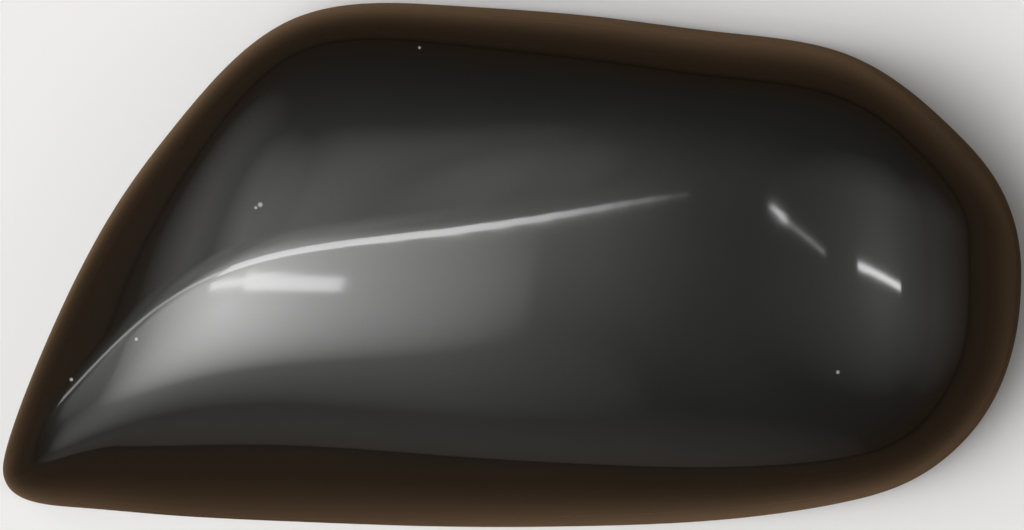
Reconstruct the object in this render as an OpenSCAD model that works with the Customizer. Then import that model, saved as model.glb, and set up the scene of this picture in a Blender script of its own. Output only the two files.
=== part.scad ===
// Wing mirror cover: one moulded shell that snaps over the housing of a door mirror.
// It lies on its open rim. +X runs to the outer end of the mirror, +Y to its top edge.

/* [Shell] */
// Length of the cover, from the tip by the car to the round nose
cover_length = 236; // [200:1:270]
// Width of the cover, from its lower edge to its top edge
cover_width = 121.5; // [105:0.5:140]
// Depth of the cover, from the plane of the rim to the highest point
cover_depth = 62; // [52:0.5:75]
// Thickness of the moulded wall
wall = 2.6; // [2:0.1:3.4]
// How far the shoulder of the wall draws in along the top edge and round the nose
shoulder_inset = 5.5; // [4:0.5:14]
// How far the shoulder draws in along the lower edge, near the tip
low_shoulder_inset = 34; // [10:0.5:40]

/* [Ridge] */
// Slope of the upper face beside the ridge near the tip, in degrees
ridge_fall_top = 24; // [10:1:32]
// Slope of the lower face beside the ridge near the tip, in degrees
ridge_fall_low = 3; // [0:1:10]
// Share of the length along which the ridge fades out
ridge_fade = 0.66; // [0.4:0.01:0.9]

/* [Rim] */
// Height of the step inside the rim that laps the mirror housing
lap_height = 2; // [1:0.1:3]
// Thickness of the lip that is left outside that step
lap_lip = 1.3; // [0.9:0.1:1.8]

/* [Snap clips] */
// Width of a snap clip's tongue
clip_width = 12; // [8:0.5:18]
// Thickness of a snap clip's tongue
clip_thick = 1.8; // [1.2:0.1:2.5]
// Height of a snap clip's tongue, free end to top
clip_height = 20; // [15:0.5:24]
// Height of the clip's free end above the rim plane
clip_start = 3; // [2.5:0.5:6]
// Distance from the outside of the cover at the rim to the tongue
clip_inset = 8; // [7:0.5:11]
// How far the hook stands in from the tongue
hook_reach = 2; // [1:0.1:3]
// Length of the tongue's free end, below its gussets
clip_free = 8; // [6:0.5:11]

/* [Locating pins] */
// Diameter of a locating pin
pin_d = 6; // [4:0.5:8]
// Length of a locating pin's full round, between its chamfer and its post
pin_length = 14; // [8:0.5:16]
// Height of a pin's free end above the rim plane
pin_start = 8; // [4:0.5:14]
// Diameter of the post that carries a pin
post_d = 9; // [8.5:0.5:13]
// Width of a post's fins where they meet the shell
fin_span = 24; // [16:1:30]

// Distances of the three pins from the cover's middle, along the length
pin_x = [-56, 10, 73]; // [-80:1:90]
// Distances of the three pins from the cover's middle, across the width
pin_y = [17, -20, 12]; // [-30:1:30]

/* [Ribs] */
// Thickness of ribs, fins and gussets
rib_thick = 1.6; // [1:0.1:2.4]
// Depth of a stiffening rib below the inside of the shell
rib_depth = 4; // [2:0.5:7]

/* [Hidden] */
$fn = 48;

// Stations along the length, from the tip to the nose, as shares of the length
station_x = [-0.5, -0.5, -0.42, -0.335, -0.225, -0.06, 0.08, 0.203, 0.335, 0.432, 0.5, 0.5];
// The lower edge, the top edge and the ridge at those stations, as shares of the width
low_edge = [-0.39, -0.455, -0.463, -0.481, -0.49, -0.503, -0.5, -0.492, -0.457, -0.395, -0.204, -0.017];
top_edge = [-0.39, -0.34, 0.045, 0.26, 0.515, 0.495, 0.479, 0.441, 0.425, 0.271, 0.124, -0.017];
ridge_line = [-0.39, -0.385, -0.205, -0.035, 0.05, 0.078, 0.125, 0.17, 0.15, 0.075, 0, -0.017];
// The ridge's height at those stations, as shares of the depth
ridge_height = [0, 0.42, 0.64, 0.8, 0.91, 0.97, 1, 1, 0.95, 0.8, 0.46, 0];

// How the wall stands: its lean and rise, the shoulder's rise, and the crown's reach
wall_lean = 0.2;
wall_rise = 0.5;
shoulder_rise = 0.88;
shoulder_follow = 0.7;
crown_share = 0.42;
// Spans of the surface's grid, along and across
along = 54;
across = 34;

// Where the clips stand, as shares of the way from tip to nose, along each edge
low_clips = [0.3, 0.48, 0.64, 0.8];
top_clips = [0.24, 0.4, 0.54, 0.7, 0.86];
// Where the stiffening ribs cross the cover, as shares of the way from tip to nose
rib_places = [0.34, 0.5, 0.66];
// How far up its ends a rib starts, in spans of the grid
rib_ends = 8;
// Height of the hook's lead-in and of its catch, and the chamfer of a pin's end
hook_lead = 3;
hook_catch = 1.2;
pin_chamfer = 1;

// Point at t, from 0 to 1, on a smooth curve that starts and ends on its end points
function knot(i, n) = min(max(i - 3, 0), n - 3);
function blend(d, k, x, n, r) = r > 3 ? d[3] : blend(
    [for (j = [0:3]) j < r ? d[j] : let (
        lo = knot(j + k - 3, n),
        hi = knot(j + 1 + k - r, n),
        a = (x - lo) / (hi - lo)
    ) (1 - a) * d[j - 1] + a * d[j]],
    k, x, n, r + 1);
function curve(p, t) = let (
    n = len(p),
    x = t * (n - 3),
    k = min(floor(x), n - 4) + 3
) blend([for (j = [0:3]) p[j + k - 3]], k, x, n, 1);

// How strongly the ridge stands at station k: 1 at the tip, 0 once it has faded
function ridge_strength(k) = max(0, 1 - (station_x[k] + 0.5) / ridge_fade);

// Nine guide points across station k, from the lower edge over the ridge to the top edge
function station(k) = let (
    x = station_x[k] * cover_length,
    y_low = low_edge[k] * cover_width,
    y_top = top_edge[k] * cover_width,
    y_mid = ridge_line[k] * cover_width,
    z = ridge_height[k] * cover_depth,
    reach_low = y_mid - y_low,
    reach_top = y_top - y_mid,
    tip_share = max(0, 0.35 - station_x[k]) / 0.85,
    in_low = min(shoulder_inset + (low_shoulder_inset - shoulder_inset) * tip_share, 0.4 * reach_low),
    in_top = min(shoulder_inset, 0.4 * reach_top),
    s = ridge_strength(k),
    fall_low = tan(ridge_fall_low) * s,
    fall_top = tan(ridge_fall_top) * s
) [
    [x, y_low, 0],
    [x, y_low + wall_lean * in_low, wall_rise * z],
    [x, y_low + in_low, shoulder_rise * z],
    [x, y_mid - crown_share * reach_low, z - fall_low * crown_share * reach_low],
    [x, y_mid, z],
    [x, y_mid + crown_share * reach_top, z - fall_top * crown_share * reach_top],
    [x, y_top - in_top, shoulder_rise * z - fall_top * shoulder_follow * (reach_top - in_top)],
    [x, y_top - wall_lean * in_top, wall_rise * z],
    [x, y_top, 0]
];
guides = [for (k = [0:len(station_x) - 1]) station(k)];

// The nine guide points of the section at share s of the way from tip to nose
function section(s) = [for (g = [0:8]) curve([for (k = [0:len(guides) - 1]) guides[k][g]], s)];
// The point at share v of the way across a section
function section_point(sec, v) = v < 0.5
    ? curve([for (g = [0:4]) sec[g]], 2 * v)
    : curve([for (g = [4:8]) sec[g]], 2 * v - 1);

// The outer surface before it is trued, and its reach across and upwards
raw = [for (i = [0:along]) let (sec = section(i / along))
    [for (j = [0:across]) section_point(sec, j / across)]];
raw_low = min([for (line = raw) line[0][1]]);
raw_high = max([for (line = raw) line[across][1]]);
raw_top = max([for (line = raw) max([for (p = line) p[2]])]);
// The outer surface, centred, and trued to the width and the depth
function trued(p) = [
    p[0],
    (p[1] - (raw_low + raw_high) / 2) * cover_width / (raw_high - raw_low),
    p[2] * cover_depth / raw_top
];
outer = [for (line = raw) [for (p = line) trued(p)]];

function unit(v) = v / norm(v);
// Outward direction of the surface at grid point i, j: level at the rim and at both ends
function outward(i, j) = i == 0 ? [-1, 0, 0] : i == along ? [1, 0, 0] : let (
    a = outer[i + 1][j] - outer[i - 1][j],
    b = outer[i][min(j + 1, across)] - outer[i][max(j - 1, 0)],
    n = cross(a, b)
) unit(j == 0 || j == across ? [n[0], n[1], 0] : n);
// The outer surface moved in by distance d
function inset_surface(d) = [for (i = [0:along]) [for (j = [0:across]) outer[i][j] - d * outward(i, j)]];

// The points of a surface as one list: the tip, the nose, then each line between them
function surface_points(s) = concat([s[0][0], s[along][0]], [for (i = [1:along - 1]) each s[i]]);
line_size = across + 1;
function at(i, j) = i == 0 ? 0 : i == along ? 1 : 2 + (i - 1) * line_size + j;
function flip(faces) = [for (f = faces) [for (k = [len(f) - 1:-1:0]) f[k]]];

// Faces of the surface, seen from outside
dome_faces = [for (i = [0:along - 1], j = [0:across - 1]) each
    i == 0 ? [[at(0, j), at(1, j), at(1, j + 1)]] :
    i == along - 1 ? [[at(i, j), at(along, j), at(i, j + 1)]] :
    [[at(i, j), at(i + 1, j), at(i + 1, j + 1)], [at(i, j), at(i + 1, j + 1), at(i, j + 1)]]];
// The rim as one loop of grid points, along the lower edge and back along the top edge
rim_loop = concat([for (i = [0:along]) [i, 0]], [for (i = [along - 1:-1:1]) [i, across]]);

// A solid dome under the outer surface moved in by distance d, closed by the plane of the rim
module dome(d) {
    base = [for (p = rim_loop) at(p[0], p[1])];
    polyhedron(surface_points(inset_surface(d)), flip(concat(dome_faces, [base])));
}

// Flat outline of the rim, moved in by distance d
module rim_outline(d) {
    polygon([for (p = rim_loop) let (q = outer[p[0]][p[1]] - d * outward(p[0], p[1])) [q[0], q[1]]]);
}

// The moulded wall, with the step inside its rim
module shell() {
    difference() {
        dome(0);
        dome(wall);
        translate([0, 0, -lap_height])
            linear_extrude(2 * lap_height)
                rim_outline(lap_lip);
    }
}

// Puts a clip inside the rim at share s of the way along, at column j of the grid
module inside_rim(s, j) {
    i = round(s * along);
    out = outward(i, j);
    translate(outer[i][j])
        rotate([0, 0, atan2(-out[1], -out[0])])
            children();
}

// A snap clip. The outside of the rim is at its origin, and inward is +X
module snap_clip() {
    back = clip_inset;
    face = clip_inset + clip_thick;
    top = clip_start + clip_height;
    free = clip_start + clip_free;
    hook = clip_start + hook_lead;
    // The tongue and its hook: a lead-in below and a flat catch above
    translate([0, clip_width / 2, 0])
        rotate([90, 0, 0])
            linear_extrude(clip_width)
                polygon([
                    [back, clip_start], [face, clip_start],
                    [face + hook_reach, hook], [face + hook_reach, hook + hook_catch],
                    [face, hook + hook_catch], [face, top], [back, top]
                ]);
    // Two gussets from the tongue back to the wall
    for (y = [-clip_width / 2, clip_width / 2 - rib_thick])
        translate([0, y + rib_thick, 0])
            rotate([90, 0, 0])
                linear_extrude(rib_thick)
                    polygon([[back, free], [face, free], [face, top], [0, top + back], [0, free + back]]);
}

// A locating pin on its finned post. The post runs up into the shell
module locating_pin() {
    full = pin_start + pin_chamfer;
    seat = full + pin_length;
    translate([0, 0, pin_start])
        cylinder(h = pin_chamfer, d1 = pin_d - 2 * pin_chamfer, d2 = pin_d);
    translate([0, 0, full])
        cylinder(h = pin_length, d = pin_d);
    translate([0, 0, seat])
        cylinder(h = cover_depth - seat, d = post_d);
    for (turn = [0, 90])
        rotate([0, 0, turn])
            translate([0, rib_thick / 2, 0])
                rotate([90, 0, 0])
                    linear_extrude(rib_thick)
                        polygon([
                            [-post_d / 2, seat + post_d / 2], [post_d / 2, seat + post_d / 2],
                            [fin_span / 2, cover_depth], [-fin_span / 2, cover_depth]
                        ]);
}

// A low rib across the inside of the shell, at share s of the way along
module stiffening_rib(s) {
    i = round(s * along);
    low_side = inset_surface(wall + rib_depth)[i];
    columns = [rib_ends:2:across - rib_ends];
    translate([outer[i][0][0] - rib_thick / 2, 0, 0])
        rotate([90, 0, 90])
            linear_extrude(rib_thick)
                polygon(concat(
                    [for (j = columns) [outer[i][j][1], outer[i][j][2]]],
                    [for (j = columns) let (p = low_side[across - j]) [p[1], p[2]]]
                ));
}

// Everything that stands inside the shell, before it is trimmed to the middle of the wall
module inner_features() {
    for (s = low_clips)
        inside_rim(s, 0) snap_clip();
    for (s = top_clips)
        inside_rim(s, across) snap_clip();
    for (k = [0:len(pin_x) - 1])
        translate([pin_x[k], pin_y[k], 0]) locating_pin();
    for (s = rib_places)
        stiffening_rib(s);
}

module mirror_cover() {
    color("#34373b")
        union() {
            shell();
            intersection() {
                dome(wall / 2);
                inner_features();
            }
        }
}

mirror_cover();
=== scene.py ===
# %% [markdown]
# A wing mirror cover is one moulded shell. This lesson dresses the measured model of it: a
# smooth skin with a ridge, the clips, pins and ribs behind it, metallic paint, and a studio.
# The sizes here are in millimetres, as on a maker's drawing, and MM turns them into metres.

# %% Load the measured model
import math

import bmesh
import bpy
import numpy as np
from mathutils import Matrix, Vector
from mathutils.kdtree import KDTree


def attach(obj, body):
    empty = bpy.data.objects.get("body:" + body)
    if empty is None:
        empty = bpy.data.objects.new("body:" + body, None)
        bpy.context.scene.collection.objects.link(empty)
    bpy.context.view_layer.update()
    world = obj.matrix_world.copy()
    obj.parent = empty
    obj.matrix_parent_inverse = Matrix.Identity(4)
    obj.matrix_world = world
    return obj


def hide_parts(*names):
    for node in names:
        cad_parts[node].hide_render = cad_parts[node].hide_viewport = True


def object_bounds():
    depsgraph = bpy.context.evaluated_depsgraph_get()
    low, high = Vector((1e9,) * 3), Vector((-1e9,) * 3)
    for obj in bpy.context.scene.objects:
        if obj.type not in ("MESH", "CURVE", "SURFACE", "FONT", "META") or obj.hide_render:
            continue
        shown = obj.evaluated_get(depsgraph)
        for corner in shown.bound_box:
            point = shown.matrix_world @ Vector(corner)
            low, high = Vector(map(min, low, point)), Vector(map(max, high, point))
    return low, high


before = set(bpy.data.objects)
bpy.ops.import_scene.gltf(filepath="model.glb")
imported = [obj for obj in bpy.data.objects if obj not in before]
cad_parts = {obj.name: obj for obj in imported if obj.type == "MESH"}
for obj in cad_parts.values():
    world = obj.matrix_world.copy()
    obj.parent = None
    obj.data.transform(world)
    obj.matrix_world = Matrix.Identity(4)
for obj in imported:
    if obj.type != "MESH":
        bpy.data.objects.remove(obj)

MM = 0.001
cad_box = [list(corner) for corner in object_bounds()]
length, width, depth = [(high - low) / MM for low, high in zip(*cad_box)]
print(f"measured cover: {length:.1f} x {width:.1f} x {depth:.1f} mm")

# %% [markdown]
# The skin of such a cover is drawn as a few smooth curves that run from its tip to its nose,
# with a soft arch across between them. A cubic B-spline is the curve for it, because its
# bends flow into each other, and gloss paint shows each bend that doesn't. The weights of its
# guide points are worked out once for a list of places, and then serve for every curve.

# %% A smooth curve through guide points
DEGREE = 3


def curve_weights(count, places):
    """Weights of `count` guide points at places from 0 to 1, on a curve that meets both ends."""
    spans = count - DEGREE
    knots = np.clip(np.arange(count + DEGREE + 1) - DEGREE, 0, spans).astype(float)
    at = np.asarray(places, float) * spans
    weights = np.zeros((len(at), count + DEGREE))
    weights[np.arange(len(at)), np.minimum(at.astype(int), spans - 1) + DEGREE] = 1
    for degree in range(1, DEGREE + 1):
        blended = np.zeros_like(weights)
        for k in range(count + DEGREE - degree):
            rise = knots[k + degree] - knots[k]
            fall = knots[k + degree + 1] - knots[k + 1]
            if rise > 0:
                blended[:, k] += (at - knots[k]) / rise * weights[:, k]
            if fall > 0:
                blended[:, k] += (knots[k + degree + 1] - at) / fall * weights[:, k + 1]
        weights = blended
    return weights[:, :count]


print("weights at the middle of five guide points:", curve_weights(5, [0.5]).round(2).tolist())

# %% [markdown]
# Twelve stations along the cover each hold nine guide points: the lower edge, the wall and
# shoulder above it, the crown, the ridge, and the same again down to the top edge. Five rows
# of numbers draw them: the stations' places from tip to nose, the two edges and the ridge as
# seen from above, and the ridge's height. They are shares of the length, width and depth.

# %% Outline and ridge
STATION_X = [-0.5, -0.5, -0.42, -0.335, -0.225, -0.06, 0.08, 0.203, 0.335, 0.432, 0.5, 0.5]
LOW_EDGE = [-0.39, -0.455, -0.463, -0.481, -0.49, -0.503, -0.5, -0.492, -0.457, -0.395, -0.204, -0.017]
TOP_EDGE = [-0.39, -0.34, 0.045, 0.26, 0.515, 0.495, 0.479, 0.441, 0.425, 0.271, 0.124, -0.017]
RIDGE_LINE = [-0.39, -0.385, -0.205, -0.035, 0.05, 0.078, 0.125, 0.17, 0.15, 0.075, 0, -0.017]
RIDGE_HEIGHT = [0, 0.42, 0.64, 0.8, 0.91, 0.97, 1, 1, 0.95, 0.8, 0.46, 0]
STATIONS = len(STATION_X)
RIDGE_POINT = 4
print(f"{STATIONS} stations, the ridge highest at x = {STATION_X[RIDGE_HEIGHT.index(1)] * length:.1f} mm")

# %% [markdown]
# The two faces fall away from the ridge at their own slopes, and both slopes fade with the
# ridge, until it has gone at two thirds of the length. The shoulders stand close inside the
# edges. Only the lower one draws far in towards the tip, where the real face leans back.

# %% Guide points of the skin
SHOULDER_INSET = 5.5
TIP_SHOULDER_INSET = 34
TAPER_END = 0.35  # where along the length the lower shoulder is back by its edge
MOST_INSET = 0.4  # of the way from the edge to the ridge
SHOULDER_RISE = 0.88  # of the ridge's height
SHOULDER_FOLLOW = 0.7  # how much of its face's fall the top shoulder takes on
WALL_RISE = 0.5  # of the ridge's height
WALL_LEAN = 0.2  # of the shoulder's inset
CROWN_SHARE = 0.42  # of the way from the ridge to the edge
RIDGE_FALL_TOP = math.tan(math.radians(24))
RIDGE_FALL_LOW = math.tan(math.radians(3))
RIDGE_LENGTH = 0.66  # of the cover's length, from the tip


def ridge_strength(k):
    """1 at the tip, and 0 once the ridge has faded."""
    return max(0, 1 - (STATION_X[k] - STATION_X[0]) / RIDGE_LENGTH)


def station(k):
    """Nine guide points across station k, in millimetres."""
    x = STATION_X[k] * length
    low, top, ridge = [line[k] * width for line in (LOW_EDGE, TOP_EDGE, RIDGE_LINE)]
    z = RIDGE_HEIGHT[k] * depth
    reach_low, reach_top = ridge - low, top - ridge
    tip_share = max(0, TAPER_END - STATION_X[k]) / (TAPER_END - STATION_X[0])
    drawn_in = SHOULDER_INSET + (TIP_SHOULDER_INSET - SHOULDER_INSET) * tip_share
    in_low = min(drawn_in, MOST_INSET * reach_low)
    in_top = min(SHOULDER_INSET, MOST_INSET * reach_top)
    strength = ridge_strength(k)
    fall_low, fall_top = RIDGE_FALL_LOW * strength, RIDGE_FALL_TOP * strength
    shoulder_top = SHOULDER_RISE * z - fall_top * SHOULDER_FOLLOW * (reach_top - in_top)
    return [
        [x, low, 0],
        [x, low + WALL_LEAN * in_low, WALL_RISE * z],
        [x, low + in_low, SHOULDER_RISE * z],
        [x, ridge - CROWN_SHARE * reach_low, z - fall_low * CROWN_SHARE * reach_low],
        [x, ridge, z],
        [x, ridge + CROWN_SHARE * reach_top, z - fall_top * CROWN_SHARE * reach_top],
        [x, top - in_top, shoulder_top],
        [x, top - WALL_LEAN * in_top, WALL_RISE * z],
        [x, top, 0],
    ]


guides = np.array([station(k) for k in range(STATIONS)])
ridge_turn = (RIDGE_FALL_LOW + RIDGE_FALL_TOP) / 2 * np.array([ridge_strength(k) for k in range(STATIONS)])
print("guide points:", guides.shape, " steepest turn at the ridge:", ridge_turn.max().round(3))

# %% [markdown]
# The guide points become a grid: sections along the cover, and lines across each section. A
# moulded ridge is never a knife edge: its corner is eased by a small radius. The easing
# lowers the corner by a parabola that meets both faces without a kink, and extra lines beside
# the ridge show it.

# %% The skin as a grid of points
RIDGE_EASE = 3.2
EASE_SHARE = 0.019  # of the way across, on each side of the ridge


def places_across(count, fine):
    """Places from 0 to 1 across the skin, with `fine` extra ones close beside the ridge."""
    low = np.linspace(0, 0.5 - EASE_SHARE, count // 2)
    beside = 0.5 + np.linspace(-EASE_SHARE, EASE_SHARE, fine)
    return np.concatenate([low, beside[1:-1], 1 - low[::-1]])


def skin(along, across):
    """The outer surface at given places, as points[section, line], in millimetres."""
    lengthwise = curve_weights(STATIONS, along)
    sections = np.einsum("sk,kgc->sgc", lengthwise, guides)
    to_ridge = curve_weights(RIDGE_POINT + 1, across[across < 0.5] * 2)
    past_ridge = curve_weights(RIDGE_POINT + 1, across[across >= 0.5] * 2 - 1)
    low = np.einsum("vg,sgc->svc", to_ridge, sections[:, :RIDGE_POINT + 1])
    top = np.einsum("vg,sgc->svc", past_ridge, sections[:, RIDGE_POINT:])
    points = np.concatenate([low, top], axis=1)
    beside = np.abs(points[..., 1] - sections[:, None, RIDGE_POINT, 1])
    eased = np.clip(1 - beside / RIDGE_EASE, 0, None) ** 2 / 2 * RIDGE_EASE
    above_rim = points[..., 2] > RIDGE_EASE
    points[..., 2] -= (lengthwise @ ridge_turn)[:, None] * eased * above_rim
    return points


SURVEY_SECTIONS, SURVEY_LINES, SURVEY_RIDGE_LINES = 801, 200, 9
survey = skin(np.linspace(0, 1, SURVEY_SECTIONS), places_across(SURVEY_LINES, SURVEY_RIDGE_LINES))
skin_low, skin_high = survey.min(axis=(0, 1)), survey.max(axis=(0, 1))
print("the skin spans", skin_low.round(2), "to", skin_high.round(2), "mm")

# %% [markdown]
# The guide points steer the skin but lie a little off it, so the grid is trued to the measured
# box. Its directions are needed as well. The wall, the lip, the clips and later the mirror
# images of the lamps are all laid out square to the skin.

# %% True to the measured box
SECTIONS, LINES, RIDGE_LINES = 301, 150, 29


def trued(points):
    """Moves and stretches the skin's points by a hair, so that they fill the measured box."""
    points = points.copy()
    middle = (skin_low[1] + skin_high[1]) / 2
    points[..., 1] = (points[..., 1] - middle) * width / (skin_high[1] - skin_low[1])
    points[..., 2] *= depth / skin_high[2]
    return points


def outward(points):
    """Unit directions out of the skin. They lie level at the rim and at both ends."""
    normals = np.cross(np.gradient(points, axis=0), np.gradient(points, axis=1))
    normals[:, [0, -1], 2] = 0
    normals[0], normals[-1] = [-1, 0, 0], [1, 0, 0]
    return normals / np.linalg.norm(normals, axis=-1, keepdims=True)


section_places = np.linspace(0, 1, SECTIONS)
line_places = places_across(LINES, RIDGE_LINES)
outer = trued(skin(section_places, line_places))
outer_normals = outward(outer)
print("outer grid:", outer.shape[:2], "highest point", outer[..., 2].max().round(2), "mm")

# %% [markdown]
# Every solid here is a closed mesh, because only then can one be cut from another. A prism
# joins two outlines of as many points each. Blender can turn all faces of a closed mesh
# outwards by itself, so the order in which a face's corners are written doesn't matter here.

# %% Closed solids
def new_piece(name, points, faces, edges=()):
    """A mesh object from points in millimetres."""
    mesh = bpy.data.meshes.new(name)
    mesh.from_pydata((np.asarray(points, float) * MM).tolist(), edges, faces)
    piece = bpy.data.objects.new(name, mesh)
    bpy.context.scene.collection.objects.link(piece)
    return piece


def faced_outwards(piece):
    """Turns all faces of a closed piece outwards."""
    shape = bmesh.new()
    shape.from_mesh(piece.data)
    bmesh.ops.recalc_face_normals(shape, faces=shape.faces)
    shape.to_mesh(piece.data)
    shape.free()
    return piece


def prism(name, near, far):
    """A closed solid between two outlines that have as many points each."""
    n = len(near)
    sides = [[k, (k + 1) % n, n + (k + 1) % n, n + k] for k in range(n)]
    return faced_outwards(new_piece(name, [*near, *far], [list(range(n)), list(range(n, 2 * n)), *sides]))


print("ways to make a mesh:", new_piece.__name__, prism.__name__)

# %% [markdown]
# A dome is the skin, moved in by some distance and closed underneath. Where it has to cut
# right through the plane of the rim, a skirt carries it on downwards.

# %% Domes
def rim_loop(grid):
    """Index pairs round the rim: along the lower edge and back along the top edge."""
    last, far = grid.shape[0] - 1, grid.shape[1] - 1
    return [(i, 0) for i in range(last + 1)] + [(i, far) for i in range(last - 1, 0, -1)]


def dome(name, grid, skirt=0):
    """A closed solid under a grid of skin. A skirt carries it on below the plane of the rim."""
    last, lines = grid.shape[0] - 1, grid.shape[1]
    points = [grid[0, 0], grid[last, 0], *grid[1:-1].reshape(-1, 3)]
    ends = {0: 0, last: 1}

    def at(i, j):
        """The number of a point. All points of an end section are one and the same."""
        return ends.get(i, len(ends) + (i - 1) * lines + j)

    faces = []
    for i in range(last):
        for j in range(lines - 1):
            corners = [at(i, j), at(i, j + 1), at(i + 1, j + 1), at(i + 1, j)]
            faces.append(list(dict.fromkeys(corners))[::-1])
    loop = [at(i, j) for i, j in rim_loop(grid)]
    if skirt:
        first = len(points)
        points += [np.array(points[k]) - [0, 0, skirt] for k in loop]
        under = list(range(first, len(points)))
        for k in range(len(loop)):
            after = (k + 1) % len(loop)
            faces.append([loop[k], under[k], under[after], loop[after]])
        loop = under
    faces.append(loop[::-1])
    return new_piece(name, points, faces)


print("round the rim:", len(rim_loop(outer)), "points")

# %% [markdown]
# The cover is one dome less a smaller one, as its mould has a cavity and a core. Blender's
# manifold boolean joins and cuts closed meshes of this size in a moment, and what it gives is
# closed again. A count of the edges that don't have exactly two faces shows whether it holds.

# %% Booleans
def evaluated_mesh(piece):
    """A new mesh of a piece with its modifiers worked in."""
    return bpy.data.meshes.new_from_object(piece.evaluated_get(bpy.context.evaluated_depsgraph_get()))


def carve(piece, operation, tool):
    """Cuts, crosses or joins a piece with a tool, and uses the tool up."""
    step = piece.modifiers.new("carve", "BOOLEAN")
    step.operation, step.solver, step.object = operation, "MANIFOLD", tool
    made = evaluated_mesh(piece)
    piece.modifiers.remove(step)
    piece.data = made
    bpy.data.objects.remove(tool)


def face_report(piece):
    """How many faces a mesh has, and how many of its edges don't have exactly two of them."""
    sides = np.zeros(len(piece.data.edges), int)
    of_faces = np.empty(len(piece.data.loops), int)
    piece.data.loops.foreach_get("edge_index", of_faces)
    np.add.at(sides, of_faces, 1)
    return f"{len(piece.data.polygons)} faces, {(sides != 2).sum()} open edges"


cover = dome("cover_shell", outer)
print("solid cover:", face_report(cover))

# %% [markdown]
# The wall keeps one thickness, as a moulding must, or it would sink and warp as it cools.
# Inside the rim a low step leaves a thin lip, which laps over the edge of the mirror housing.

# %% The moulded wall
WALL = 2.6
LAP_HEIGHT, LAP_LIP = 2.0, 1.3
CORE_SKIRT = 8
PLAIN_LINES, PLAIN_RIDGE_LINES = 56, 7  # fewer than outside, where the gloss shows each one
plain = trued(skin(section_places, places_across(PLAIN_LINES, PLAIN_RIDGE_LINES)))
carve(cover, "DIFFERENCE", dome("core", plain - WALL * outward(plain), CORE_SKIRT))
lip = np.array([outer[place] - LAP_LIP * outer_normals[place] for place in rim_loop(outer)])
carve(cover, "DIFFERENCE", prism("lap_step", lip - [0, 0, LAP_HEIGHT], lip + [0, 0, LAP_HEIGHT]))
print("wall:", face_report(cover))

# %% [markdown]
# Behind the skin stand the parts that hold the cover on. A snap clip is a springy tongue with
# a hook, carried by two gussets. Each is a flat outline, drawn from the side and given a
# thickness. Its x is the distance in from the skin, and its z the height above the rim.

# %% One clip
RIB_THICK = 1.6
CLIP_WIDTH, CLIP_THICK, CLIP_HEIGHT = 12, 1.8, 20
CLIP_START = 3  # above the rim
CLIP_INSET = 8  # in from the skin
CLIP_FREE = 8  # the length of the tongue below its gussets
HOOK_REACH, HOOK_LEAD, HOOK_CATCH = 2, 3, 1.2


def slab(name, outline, start, thick):
    """A flat outline in X and Z, given a thickness along Y."""
    return prism(name, [(x, start, z) for x, z in outline], [(x, start + thick, z) for x, z in outline])


back, face = CLIP_INSET, CLIP_INSET + CLIP_THICK
hook, free, top = CLIP_START + HOOK_LEAD, CLIP_START + CLIP_FREE, CLIP_START + CLIP_HEIGHT
tongue = [
    (back, CLIP_START), (face, CLIP_START),
    (face + HOOK_REACH, hook), (face + HOOK_REACH, hook + HOOK_CATCH),
    (face, hook + HOOK_CATCH), (face, top), (back, top),
]
gusset = [(back, free), (face, free), (face, top), (0, top + back), (0, free + back)]
clip = slab("clip", tongue, -CLIP_WIDTH / 2, CLIP_WIDTH)
for start in (-CLIP_WIDTH / 2, CLIP_WIDTH / 2 - RIB_THICK):
    carve(clip, "UNION", slab("gusset", gusset, start, RIB_THICK))
print("clip:", face_report(clip))

# %% [markdown]
# A locating pin slides into a socket of the housing, so it has a chamfered end, and a post
# with four fins keeps it straight. A toolmaker cuts the pin's mould by turning, and a profile
# turned about its axis makes pin and post here as well. Post and fins run up past the skin
# for now, and are trimmed later.

# %% One pin
PIN_R, PIN_LENGTH, PIN_CHAMFER = 3, 14, 1
PIN_START = 8  # above the rim
POST_R, FIN_SPAN = 4.5, 24
PIN_SIDES = 48


def turned(name, profile, count):
    """A solid of revolution about Z, from (radius, height) points whose ends lie on the axis."""
    rings = profile[1:-1]
    angles = [2 * math.pi * k / count for k in range(count)]
    points = [[r * math.cos(a), r * math.sin(a), z] for r, z in rings for a in angles]
    points += [[0, 0, profile[0][1]], [0, 0, profile[-1][1]]]
    low, high = len(points) - 2, len(points) - 1
    faces = []
    for k in range(count):
        after = (k + 1) % count
        faces.append([low, after, k])
        faces.append([high, (len(rings) - 1) * count + k, (len(rings) - 1) * count + after])
        for ring in range(len(rings) - 1):
            a, b = ring * count + k, ring * count + after
            faces.append([a, b, b + count, a + count])
    return faced_outwards(new_piece(name, points, faces))


full = PIN_START + PIN_CHAMFER
seat = full + PIN_LENGTH
profile = [
    (0, PIN_START), (PIN_R - PIN_CHAMFER, PIN_START), (PIN_R, full), (PIN_R, seat),
    (POST_R, seat), (POST_R, depth), (0, depth),
]
pin = turned("pin", profile, PIN_SIDES)
fin = [(-POST_R, seat + POST_R), (POST_R, seat + POST_R), (FIN_SPAN / 2, depth), (-FIN_SPAN / 2, depth)]
carve(pin, "UNION", slab("fin", fin, -RIB_THICK / 2, RIB_THICK))
cross_fin = slab("cross_fin", fin, -RIB_THICK / 2, RIB_THICK)
cross_fin.data.transform(Matrix.Rotation(math.radians(90), 4, "Z"))
carve(pin, "UNION", cross_fin)
print("pin:", face_report(pin))

# %% [markdown]
# Clips, pins and ribs repeat or follow the wall, so Geometry Nodes make them. A tree is built
# from a few lines: each adds one node and links or sets its inputs by name. Every tree ends
# the same way, with real mesh for the boolean to work on and the moulding's material on it.

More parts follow.
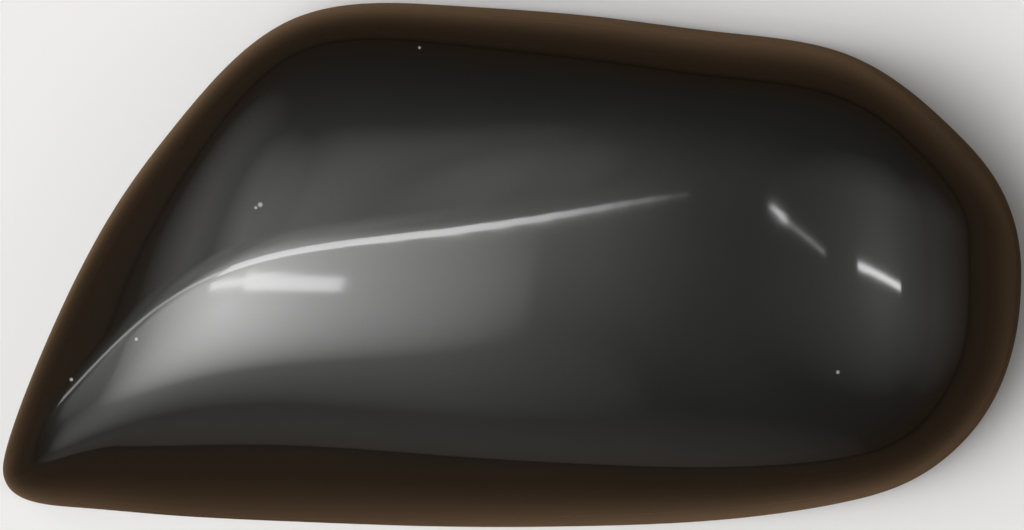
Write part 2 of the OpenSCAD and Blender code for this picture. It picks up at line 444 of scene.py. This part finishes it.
# %% Building Geometry Nodes
def node_group(name, inputs):
    """An empty tree with a geometry input and named inputs after it, and its input sockets."""
    tree = bpy.data.node_groups.new(name, "GeometryNodeTree")
    for label, kind in (("Geometry", "Geometry"), *inputs):
        tree.interface.new_socket(label, in_out="INPUT", socket_type="NodeSocket" + kind)
    tree.interface.new_socket("Geometry", in_out="OUTPUT", socket_type="NodeSocketGeometry")
    return tree, tree.nodes.new("NodeGroupInput").outputs


def add_node(tree, kind, inputs, output, **settings):
    """Adds a node with its settings, links or sets its inputs, and gives one of its outputs."""
    node = tree.nodes.new(kind)
    for label, setting in settings.items():
        setattr(node, label, setting)
    for label, given in inputs.items():
        if isinstance(given, bpy.types.NodeSocket):
            tree.links.new(given, node.inputs[label])
        else:
            node.inputs[label].default_value = given
    return node.outputs[output]


def end_group(tree, geometry, material):
    """Ends a tree: copies become real mesh, and the mesh gets its material."""
    real = add_node(tree, "GeometryNodeRealizeInstances", {"Geometry": geometry}, "Geometry")
    coating = {"Geometry": real, "Material": material}
    coated = add_node(tree, "GeometryNodeSetMaterial", coating, "Geometry")
    tree.links.new(coated, tree.nodes.new("NodeGroupOutput").inputs["Geometry"])
    return tree


def grown(piece, tree, values):
    """Runs a tree on a piece with its named inputs set, and keeps the result as a plain mesh."""
    step = piece.modifiers.new(tree.name, "NODES")
    step.node_group = tree
    sockets = {item.name: item.identifier for item in tree.interface.items_tree if item.in_out == "INPUT"}
    for label, value in values.items():
        step[sockets[label]] = value
    made = evaluated_mesh(piece)
    piece.modifiers.remove(step)
    piece.data = made


moulding = bpy.data.materials.new("cover_finish")
print("the moulding's material:", moulding.name)

# %% [markdown]
# Clips and pins are copies on points: a few points say where, one attribute says which way
# each faces, and Instance on Points does the rest. The clips stand round the rim and face
# inward, each at a section of the measured model. The pins stand well inside.

# %% Clips and pins in their places
def copies_tree():
    """Copies of one solid on the points of a mesh, each turned about Z by the point's turn."""
    tree, given = node_group("copies on points", [("Solid", "Object"), ("Size", "Float")])
    named = {"Name": "turn"}
    turn = add_node(tree, "GeometryNodeInputNamedAttribute", named, "Attribute", data_type="FLOAT")
    about_z = add_node(tree, "ShaderNodeCombineXYZ", {"Z": turn}, "Vector")
    solid = add_node(tree, "GeometryNodeObjectInfo", {"Object": given["Solid"]}, "Geometry")
    placing = {"Points": given["Geometry"], "Instance": solid, "Rotation": about_z, "Scale": given["Size"]}
    copies = add_node(tree, "GeometryNodeInstanceOnPoints", placing, "Instances")
    return end_group(tree, copies, moulding)


def copied(name, solid, points, turns):
    """One mesh with a copy of the solid on each point. The solid is used up."""
    carrier = new_piece(name, points, [])
    carrier.data.attributes.new("turn", "FLOAT", "POINT").data.foreach_set("value", turns)
    grown(carrier, copies_tree(), {"Solid": solid, "Size": 1.0})
    bpy.data.objects.remove(solid)
    return carrier


LOW_CLIPS = [0.3, 0.48, 0.64, 0.8]
TOP_CLIPS = [0.24, 0.4, 0.54, 0.7, 0.86]
PIN_PLACES = [(-56, 17, 0), (10, -20, 0), (73, 12, 0)]
CAD_SPANS = 54  # between the sections of the measured model


def section_at(share):
    """The section that lies nearest to the measured one at a share of the skin's length."""
    return round(round(share * CAD_SPANS) / CAD_SPANS * (SECTIONS - 1))


clip_places = [(section_at(share), 0) for share in LOW_CLIPS]
clip_places += [(section_at(share), -1) for share in TOP_CLIPS]
clip_turns = [math.atan2(-outer_normals[place][1], -outer_normals[place][0]) for place in clip_places]
clips = copied("clips", clip, [outer[place] for place in clip_places], clip_turns)
pins = copied("pins", pin, PIN_PLACES, [0.0] * len(PIN_PLACES))
print("clips:", face_report(clips), " pins:", face_report(pins))

# %% [markdown]
# The low stiffening ribs follow the inside of the shell across, so they are swept: a line of
# points along the wall becomes a curve, and a rectangle as thick and deep as a rib runs
# along it. The curve's normals are set level, so that the rectangle never rolls.

# %% Swept ribs
RIB_DEPTH = 4
RIB_PLACES = [0.34, 0.5, 0.66]
RIB_END = 0.235  # of the way across, from either edge
RIB_POINTS = 61


def ribs_tree():
    """A rectangle swept along each line of a mesh."""
    tree, given = node_group("swept ribs", [("Thickness", "Float"), ("Depth", "Float")])
    path = add_node(tree, "GeometryNodeMeshToCurve", {"Mesh": given["Geometry"]}, "Curve")
    level = add_node(tree, "GeometryNodeSetCurveNormal", {"Curve": path}, "Curve", mode="Z_UP")
    sizes = {"Width": given["Thickness"], "Height": given["Depth"]}
    rectangle = add_node(tree, "GeometryNodeCurvePrimitiveQuadrilateral", sizes, "Curve")
    sweep = {"Curve": level, "Profile Curve": rectangle, "Fill Caps": True}
    swept = add_node(tree, "GeometryNodeCurveToMesh", sweep, "Mesh")
    return end_group(tree, swept, moulding)


def rib_line(share):
    """The middle of a rib that reaches from the skin through the wall to RIB_DEPTH inside it."""
    i = section_at(share)
    beside = trued(skin(section_places[i - 1:i + 2], np.linspace(RIB_END, 1 - RIB_END, RIB_POINTS)))
    middle = (beside - (WALL + RIB_DEPTH) / 2 * outward(beside))[1]
    middle[:, 0] = beside[1, 0, 0]
    return middle


rib_points = np.concatenate([rib_line(share) for share in RIB_PLACES])
rib_edges = [(k, k + 1) for k in range(len(rib_points) - 1) if (k + 1) % RIB_POINTS]
ribs = new_piece("ribs", rib_points, [], rib_edges)
grown(ribs, ribs_tree(), {"Thickness": RIB_THICK * MM, "Depth": (WALL + RIB_DEPTH) * MM})
print("ribs:", face_report(ribs), " box:", [round(side / MM, 1) for side in ribs.dimensions], "mm")

# %% [markdown]
# Clips, pins and ribs are first crossed with a dome that ends in the middle of the wall. So
# each one runs into the plastic that carries it, and none of them breaks through the skin.

# %% One closed moulding
for feature in (clips, pins, ribs):
    carve(feature, "INTERSECT", dome("trimmer", plain - WALL / 2 * outward(plain)))
    carve(cover, "UNION", feature)
print("cover:", face_report(cover))

# %% [markdown]
# The spray gun reaches the outside and a little way round the rim, where the paint thins out
# into overspray. The rest of the inside stays bare moulded plastic. So each point of the mesh
# carries how much paint it has: 1 on the skin, and less with each millimetre up the inside.

# %% Where the paint is
PAINT_FULL, PAINT_NONE = 1, 13  # heights above the rim, on the inside
ON_SKIN = 0.02  # a point this near to the skin's grid is on the skin
skin_points = outer.reshape(-1, 3)
skin_places = KDTree(len(skin_points))
for k, point in enumerate(skin_points):
    skin_places.insert(point * MM, k)
skin_places.balance()


def paint_at(place):
    """How much paint a point of the mesh carries, from 0 to 1."""
    if skin_places.find(place)[2] < ON_SKIN * MM:
        return 1.0
    overspray = (PAINT_NONE - place.z / MM) / (PAINT_NONE - PAINT_FULL)
    return min(1.0, max(0.0, overspray))


paint = [paint_at(vertex.co) for vertex in cover.data.vertices]
cover.data.attributes.new("paint", "FLOAT", "POINT").data.foreach_set("value", paint)
print("painted points:", sum(share == 1 for share in paint), "of", len(paint))

# %% [markdown]
# Smooth shading makes the skin look as smooth as the curve behind it. It has to stop at the
# true corners of the lip, clips and ribs, so edges sharper than a set angle stay sharp.

# %% Smooth faces and sharp corners
SHARP_ANGLE = 32
cover.data.materials.clear()
cover.data.materials.append(moulding)
cover.data.polygons.foreach_set("material_index", [0] * len(cover.data.polygons))
cover.data.shade_smooth()
cover.data.set_sharp_from_angle(angle=math.radians(SHARP_ANGLE))
cover.data.calc_loop_triangles()
print("triangles:", len(cover.data.loop_triangles))

# %% [markdown]
# Material patterns are sums and products of a few noises and masks. Written as Python
# expressions they stay readable, so a small class wraps a node's socket and turns +, -, *,
# / and ** into Math nodes.

# %% Expressions that become nodes
class Value:
    """A number that varies over a surface, for use in expressions."""

    def __init__(self, finish, socket):
        self.finish, self.socket = finish, socket

    def maths(self, operation, first, second):
        return self.finish.add("Math", {"operation": operation}, {0: first, 1: second})

    def __add__(self, other):
        return self.maths("ADD", self, other)

    def __sub__(self, other):
        return self.maths("SUBTRACT", self, other)

    def __rsub__(self, other):
        return self.maths("SUBTRACT", other, self)

    def __mul__(self, other):
        return self.maths("MULTIPLY", self, other)

    def __truediv__(self, other):
        return self.maths("DIVIDE", self, other)

    def __pow__(self, other):
        return self.maths("POWER", self, other)

    __radd__, __rmul__ = __add__, __mul__

    def below(self, most):
        return self.maths("MINIMUM", self, most)


print("each", Value.__name__, "takes + - * / ** and", Value.below.__name__)

# %% [markdown]
# Every other node comes from one method. It sets the node's own settings first, because they
# decide which of its sockets are live, and then links or sets its inputs. Colours go through
# the Mix node, since a Math node would turn them grey.

# %% Other nodes
class Finish:
    """The nodes of a material, or of a world, while they are being built."""

    def __init__(self, owner):
        owner.use_nodes = True
        self.tree = owner.node_tree
        self.tree.nodes.clear()

    def live(self, sockets, label):
        """The socket with a given name or number, of those that the node's settings leave live."""
        shown = [socket for socket in sockets if socket.enabled]
        return shown[label] if isinstance(label, int) else next(s for s in shown if s.name == label)

    def add(self, kind, settings, inputs, output=0):
        """Adds a node and gives one of its outputs, ready for an expression."""
        node = self.tree.nodes.new("ShaderNode" + kind)
        for label, setting in settings.items():
            setattr(node, label, setting)
        for label, given in inputs.items():
            socket = self.live(node.inputs, label)
            if isinstance(given, Value):
                self.tree.links.new(given.socket, socket)
            else:
                socket.default_value = given
        return Value(self, self.live(node.outputs, output)) if node.outputs else None

    def smooth(self, value, start, end):
        """0 at start, 1 at end, and a soft blend between."""
        ends = {"Value": value, "From Min": start, "From Max": end}
        return self.add("MapRange", {"interpolation_type": "SMOOTHSTEP"}, ends)

    def mixed(self, share, first, second):
        """A colour between two others."""
        return self.add("Mix", {"data_type": "RGBA"}, {"Factor": share, "A": first, "B": second})


finish = Finish(moulding)
place = finish.add("TexCoord", {}, {}, "Object")
print("the finish starts with", len(finish.tree.nodes), "node, for the place on the cover")

# %% [markdown]
# Nothing on the paint is quite even. The tone of the base coat drifts a little, single flakes
# stand out, and a few specks of dust are caught in it. Each speck is painted pale, which is
# also a painted highlight in place of the glint of a lamp on it. Noise at two sizes gives the
# first two. Each speck is a mask round one place, by its distance in X and Y from there.

# %% Noises, and specks with painted glints
CLOUD_SIZE, FLAKE_SIZE = 30, 0.3
# Places and radii of dust specks whose pale colour is partly a painted highlight.
DUST_AND_GLINT_SPECKS = [
    (-57.6, 13.8, 0.75), (-58.6, 13.1, 0.5), (74.5, -24.5, 0.6), (-101.2, -26.3, 0.6),
    (-86.1, -17.0, 0.5), (-21.2, 49.8, 0.5),
]
SPECK_RIM, SPECK_CORE = 1.0, 0.3  # shares of a speck's radius


def noise(size, detail=2.0):
    """A smooth random value whose humps are about `size` millimetres across."""
    return finish.add("TexNoise", {}, {"Vector": place, "Scale": 1 / (size * MM), "Detail": detail})


flakes = noise(FLAKE_SIZE, 0.0)
cloud = noise(CLOUD_SIZE)
place_x, place_y = [finish.add("SeparateXYZ", {}, {"Vector": place}, axis) for axis in "XY"]
dust_and_glint_specks = 0.0
for speck_x, speck_y, radius in DUST_AND_GLINT_SPECKS:
    away = ((place_x - speck_x * MM) ** 2 + (place_y - speck_y * MM) ** 2) ** 0.5 / (radius * MM)
    dust_and_glint_specks = finish.smooth(away, SPECK_RIM, SPECK_CORE) + dust_and_glint_specks
dust_and_glint_specks = dust_and_glint_specks.below(1.0)
print("specks:", len(DUST_AND_GLINT_SPECKS), " nodes:", len(finish.tree.nodes))

# %% [markdown]
# A metallic finish is three layers deep. Tiny metal flakes lie nearly flat in a dark base
# coat, and mirror light in a soft lobe that is bright one way and nearly black the others.
# Over them lies a clear coat, smooth as glass, which adds the crisp reflections of the lamps.
# A faint ripple, as the gun leaves it, bends the flakes' soft lobe and leaves the clear coat
# flat. The specks are pale and dull, so they aren't metal: dust, with a painted highlight in its colour.

# %% Metallic paint
BASE_DARK, BASE_LIGHT = (0.028, 0.031, 0.033, 1), (0.038, 0.043, 0.045, 1)
DUST_AND_GLINT_SHADE = (0.4, 0.41, 0.4, 1)
FLAKE_EDGE = (0.15, 0.12, 0.09, 1)
FLAKE_ROUGHNESS, CLOUD_ROUGHNESS = 0.3, 0.06
PEEL_SIZE, PEEL_HEIGHT = 2.6, 0.0025
shade = finish.mixed(cloud * 0.5 + flakes * 0.5, BASE_DARK, BASE_LIGHT)
# Painted highlight: the specks are coloured pale grey for their glint, not bumped to catch a lamp.
shade = finish.mixed(dust_and_glint_specks, shade, DUST_AND_GLINT_SHADE)
peel = {"Height": noise(PEEL_SIZE, 1.0), "Strength": 1.0, "Distance": PEEL_HEIGHT * MM}
painted = finish.add("BsdfPrincipled", {}, {
    "Base Color": shade, "Metallic": 1.0 - dust_and_glint_specks, "Roughness": FLAKE_ROUGHNESS + cloud * CLOUD_ROUGHNESS,
    "Normal": finish.add("Bump", {}, peel), "Specular Tint": FLAKE_EDGE,
    "Coat Weight": 1.0, "Coat Roughness": 0.06, "Coat IOR": 1.5, "Coat Tint": (0.95, 0.88, 0.8, 1),
})
print("paint:", len(finish.tree.nodes), "nodes")

# %% [markdown]
# Under the paint is a moulded plastic, dark grey and satin, with the fine even texture that
# a mould's sparked core leaves. Where the overspray thins out, paint and plastic meet in a
# grainy edge rather than a line, so the paint's share is broken up by a fine noise.

# %% Bare plastic and overspray
BARE_DARK, BARE_LIGHT = (0.016, 0.017, 0.018, 1), (0.024, 0.025, 0.027, 1)
BARE_ROUGHNESS, GRAIN_ROUGHNESS = 0.46, 0.14
TONE_SIZE, GRAIN_SIZE, GRAIN_HEIGHT = 18, 0.35, 0.03
SPRAY_SIZE, SPRAY_GRAIN = 0.5, 3.0
SPRAY_START, SPRAY_FULL = 0.15, 0.85
grain = noise(GRAIN_SIZE, 3.0)
texture = {"Height": grain, "Strength": 0.6, "Distance": GRAIN_HEIGHT * MM}
bare = finish.add("BsdfPrincipled", {}, {
    "Base Color": finish.mixed(noise(TONE_SIZE), BARE_DARK, BARE_LIGHT),
    "Roughness": BARE_ROUGHNESS + grain * GRAIN_ROUGHNESS, "Normal": finish.add("Bump", {}, texture),
})
sprayed = finish.add("Attribute", {"attribute_name": "paint"}, {}, "Fac")
ragged = sprayed + (noise(SPRAY_SIZE, 4.0) - 0.5) * SPRAY_GRAIN * sprayed * (1.0 - sprayed)
covered = finish.smooth(ragged, SPRAY_START, SPRAY_FULL)
both = finish.add("MixShader", {}, {0: covered, 1: bare, 2: painted})
finish.add("OutputMaterial", {}, {"Surface": both})
print("finish:", moulding.name, "with", len(finish.tree.nodes), "nodes")

# %% [markdown]
# The cover lies on its rim on a pale table, a plain matt sheet a hair below the rim. Wherever
# the cover's wall is steeper than 45 degrees it mirrors what it lies on, and there the real one
# shows a dark warm brown. So a brown card lies on the table as well. Photographers ring gloss
# paint with such cards, or its edge would melt into a pale table. Only mirror rays see this
# one, which lets the table stay pale and keep the shadow.

# %% Table and brown card
STAGE_HALF, TABLE_Z, CARD_Z = 2000, -0.2, -0.1
PALE, BROWN = (0.88, 0.88, 0.87, 1), (0.2, 0.125, 0.07, 1)
CORNERS = [(-1, -1), (1, -1), (1, 1), (-1, 1)]


def matt_sheet(name, height, shade):
    """A large level sheet of one plain colour, which isn't part of the object."""
    sheet = new_piece(name, [(a * STAGE_HALF, b * STAGE_HALF, height) for a, b in CORNERS], [(0, 1, 2, 3)])
    material = bpy.data.materials.new(name)
    nodes = Finish(material)
    matt = {"Base Color": shade, "Roughness": 0.9, "Specular IOR Level": 0.2}
    nodes.add("OutputMaterial", {}, {"Surface": nodes.add("BsdfPrincipled", {}, matt)})
    sheet.data.materials.append(material)
    return sheet


table = matt_sheet("table", TABLE_Z, PALE)
card = matt_sheet("brown_card", CARD_Z, BROWN)
card.visible_camera = card.visible_diffuse = card.visible_shadow = card.visible_transmission = False
print("table:", [round(side, 2) for side in table.dimensions], "m")

# %% [markdown]
# The camera looks straight down, from far away through a long lens, because the photograph
# shows both long sides equally steep. The frame is as wide as the cover and a little more.

# %% Camera
LENS, SENSOR, FRAME_WIDTH = 600, 36, 237.4
camera_height = LENS / SENSOR * FRAME_WIDTH
lens = bpy.data.cameras.new("camera")
lens.lens, lens.sensor_width = LENS, SENSOR
camera = bpy.data.objects.new("camera", lens)
camera.location = (0, 0, camera_height * MM)
bpy.context.scene.collection.objects.link(camera)
bpy.context.scene.camera = camera
print("camera height:", round(camera_height * MM, 2), "m")

# %% [markdown]
# Gloss paint shows its lamps. So each lamp is placed by its reflection: a line from the camera
# to a place on the skin is mirrored there, and the lamp stands along the mirrored line.

# %% Mirrored lines
LAMP_DISTANCE = 1500
WALL_FOOT = 5
LINES_BELOW_RIDGE = 5
bright_line = int(np.abs(line_places - 0.5).argmin()) - LINES_BELOW_RIDGE


def mirrored(x, y=None):
    """Where a lamp stands that the skin mirrors to the camera, at x, y or beside the ridge at x."""
    if y is None:
        at = (np.abs(outer[:, bright_line, 0] - x).argmin(), bright_line)
    else:
        off = np.hypot(outer[..., 0] - x, outer[..., 1] - y)
        off[outer[..., 2] < WALL_FOOT] = np.inf
        at = np.unravel_index(off.argmin(), off.shape)
    ray = outer[at] - np.array([0, 0, camera_height])
    ray /= np.linalg.norm(ray)
    away = ray - 2 * ray.dot(outer_normals[at]) * outer_normals[at]
    return Vector((outer[at] + LAMP_DISTANCE * away) * MM)


print("the middle of the cover mirrors", [round(side, 2) for side in mirrored(0, 0)], "m")

# %% [markdown]
# A softbox with a grid in front has a narrow spread: its mirror image is brightest in the
# middle and fades to nothing at its edges, so one place and its fade in degrees describe it.
# A strip light is a bright bar with crisp ends, so two places on the skin give both its ends.
# Lamps shine by their power in watts, but it is radiance, the brightness of the surface, that
# a mirror image shows. So power is worked out from it. The camera never sees a lamp itself.

# %% Two kinds of lamp
def hang(name, middle, side, long, broad, spread, power):
    """An area lamp that faces the cover, with its long side along `side`."""
    back = middle.normalized()
    side = (side - side.dot(back) * back).normalized()
    light = bpy.data.lights.new(name, "AREA")
    light.shape = "RECTANGLE"
    light.size, light.size_y = long, broad
    light.spread, light.energy = spread, power
    lamp = bpy.data.objects.new(name, light)
    turn = Matrix((side, back.cross(side), back)).transposed().to_4x4()
    lamp.matrix_world = Matrix.Translation(middle) @ turn
    lamp.visible_camera = False
    bpy.context.scene.collection.objects.link(lamp)
    print(f"{name}: {long:.3f} x {broad:.3f} m, {power:.3f} W")


def softbox(name, place, fade, radiance):
    """A square lamp whose mirror image fades away from one place, `fade` degrees wide."""
    half = math.radians(fade)
    side = 2 * LAMP_DISTANCE * MM * math.tan(half)
    # For the same power, a lamp of narrow spread is brighter on its axis, by one over this.
    gathered = (math.tan(half) - half) / math.tan(half)
    power = radiance * math.pi * side**2 * gathered
    hang(name, mirrored(*place), Vector((1, 0, 0)), side, side, 2 * half, power)


def strip_light(name, start, end, broad, radiance):
    """A bar whose mirror image runs from start to end on the skin."""
    one, other = mirrored(*start), mirrored(*end)
    long, broad = (other - one).length, broad * MM
    power = radiance * math.pi * long * broad
    hang(name, (one + other) / 2, other - one, long, broad, math.pi, power)


print("a lamp of radiance 1 and one square metre takes", round(math.pi, 2), "W")

# %% [markdown]
# The brightest softbox is the window on the lower face, and two dimmer ones carry its glow
# on towards the tip and the rim. The others are the grey sheen of the room: low down, at the
# tip, round the nose, and in two rows along the upper face and close beside the ridge. A
# softbox is given by its place on the skin, its fade in degrees and its radiance.

# %% Softboxes
SOFTBOXES = [
    ("window", (-64, -9), 23, 8.0),
    ("window_foot", (-78, -28), 30, 1.1),
    ("window_corner", (-90, -18), 14, 1.5),
    ("low_glow", (-67, -37), 38, 0.32),
    ("tip_glow", (-72, 9), 20, 0.85),
    ("nose_glow", (84, -7), 28, 0.55),
    ("nose_edge_glow", (97, -11), 24, 0.35),
]
UPPER_FADE, RIDGE_FADE = 10, 12
UPPER_GLOWS = [((-60, 9), 1.6), ((-49, 11), 1.2), ((-37, 13), 0.4), ((-26, 14.5), 0.2)]
RIDGE_GLOWS = [((-72, -1.6), 1.3), ((-60, 3.4), 1.5), ((-48, 6.4), 1.4), ((-34, 8.4), 0.8)]
for name, spot, fade, radiance in SOFTBOXES:
    softbox(name, spot, fade, radiance)
for number, (spot, radiance) in enumerate(UPPER_GLOWS):
    softbox(f"upper_glow_{number}", spot, UPPER_FADE, radiance)
for number, (spot, radiance) in enumerate(RIDGE_GLOWS):
    softbox(f"ridge_glow_{number}", spot, RIDGE_FADE, radiance)

# %% [markdown]
# Three crisp reflections lie on the cover: a flat streak under the ridge, which narrows
# towards the tip, and two slanting bars by the nose, of which the left one is brighter at its
# upper end. The streak and that bar are two strips each. A strip is given by the places of
# both its ends on the skin, its breadth and its radiance.

# %% Strip lights
STRIPS = [
    ("window_streak", (-61, -3.3), (-38.5, -5.4), 52, 8),
    ("window_streak_end", (-69, -5.0), (-61, -4.1), 26, 8),
    ("nose_tube_end", (59.2, 13.2), (63.2, 10.2), 8, 28),
    ("nose_tube", (63.2, 10.2), (71.2, 3.4), 9, 6),
    ("nose_strip", (79.2, 0.6), (89.1, -5.9), 24, 18),
]
for name, start, end, broad, radiance in STRIPS:
    strip_light(name, start, end, broad, radiance)

# %% [markdown]
# The ridge shows as a fine bright line. Its eased corner turns through every direction from
# one face's to the other's, so a strip light that stands between those two is mirrored as a
# line along the whole ridge. The ridge flattens and fades towards the nose, so there the
# strips get narrower and dimmer in small steps. A strip is given by its two ends along the
# ridge, its breadth and its radiance.

# %% Strip lights along the ridge
RIDGE_STRIPS = [
    (-104, -66, 90, 4), (-66, -51, 190, 8), (-51, -36, 185, 8.5), (-36, -22, 165, 9.5),
    (-22, -8, 135, 10), (-8, 1, 105, 9.5), (1, 10, 82, 8.5), (10, 16, 62, 7),
    (16, 22, 50, 5.5), (22, 27, 40, 4), (27, 32, 30, 3), (32, 36, 23, 2), (36, 40, 16, 1.2),
]
for number, (start, end, broad, radiance) in enumerate(RIDGE_STRIPS):
    strip_light(f"ridge_strip_{number}", (start,), (end,), broad, radiance)

# %% [markdown]
# The rest of the studio is dim, which keeps the dark sides of the cover dark. It is grey above
# and turns to the brown of the card towards the horizon, so that in the paint the brown rim
# has no hard edge.

# %% The room
ROOM_STRENGTH = 0.14
ROOM_GREY, ROOM_BROWN = (1, 0.97, 0.93, 1), (1, 0.68, 0.42, 1)
BROWN_TOP = 0.7  # from 0 at the horizon to 1 overhead
world = bpy.data.worlds.new("studio")
bpy.context.scene.world = world
room = Finish(world)
direction = room.add("TexCoord", {}, {}, "Generated")
upward = room.add("SeparateXYZ", {}, {"Vector": direction}, "Z")
tone = room.mixed(room.smooth(upward, 0.0, BROWN_TOP), ROOM_BROWN, ROOM_GREY)
air = room.add("Background", {}, {"Color": tone, "Strength": ROOM_STRENGTH})
room.add("OutputWorld", {}, {"Surface": air})
bpy.context.scene.view_settings.view_transform = "Standard"
print("room:", len(room.tree.nodes), "nodes, strength", ROOM_STRENGTH)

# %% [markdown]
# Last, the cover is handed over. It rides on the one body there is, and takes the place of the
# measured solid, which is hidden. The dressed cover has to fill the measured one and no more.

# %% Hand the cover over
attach(cover, "root")
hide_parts("mirror_cover")
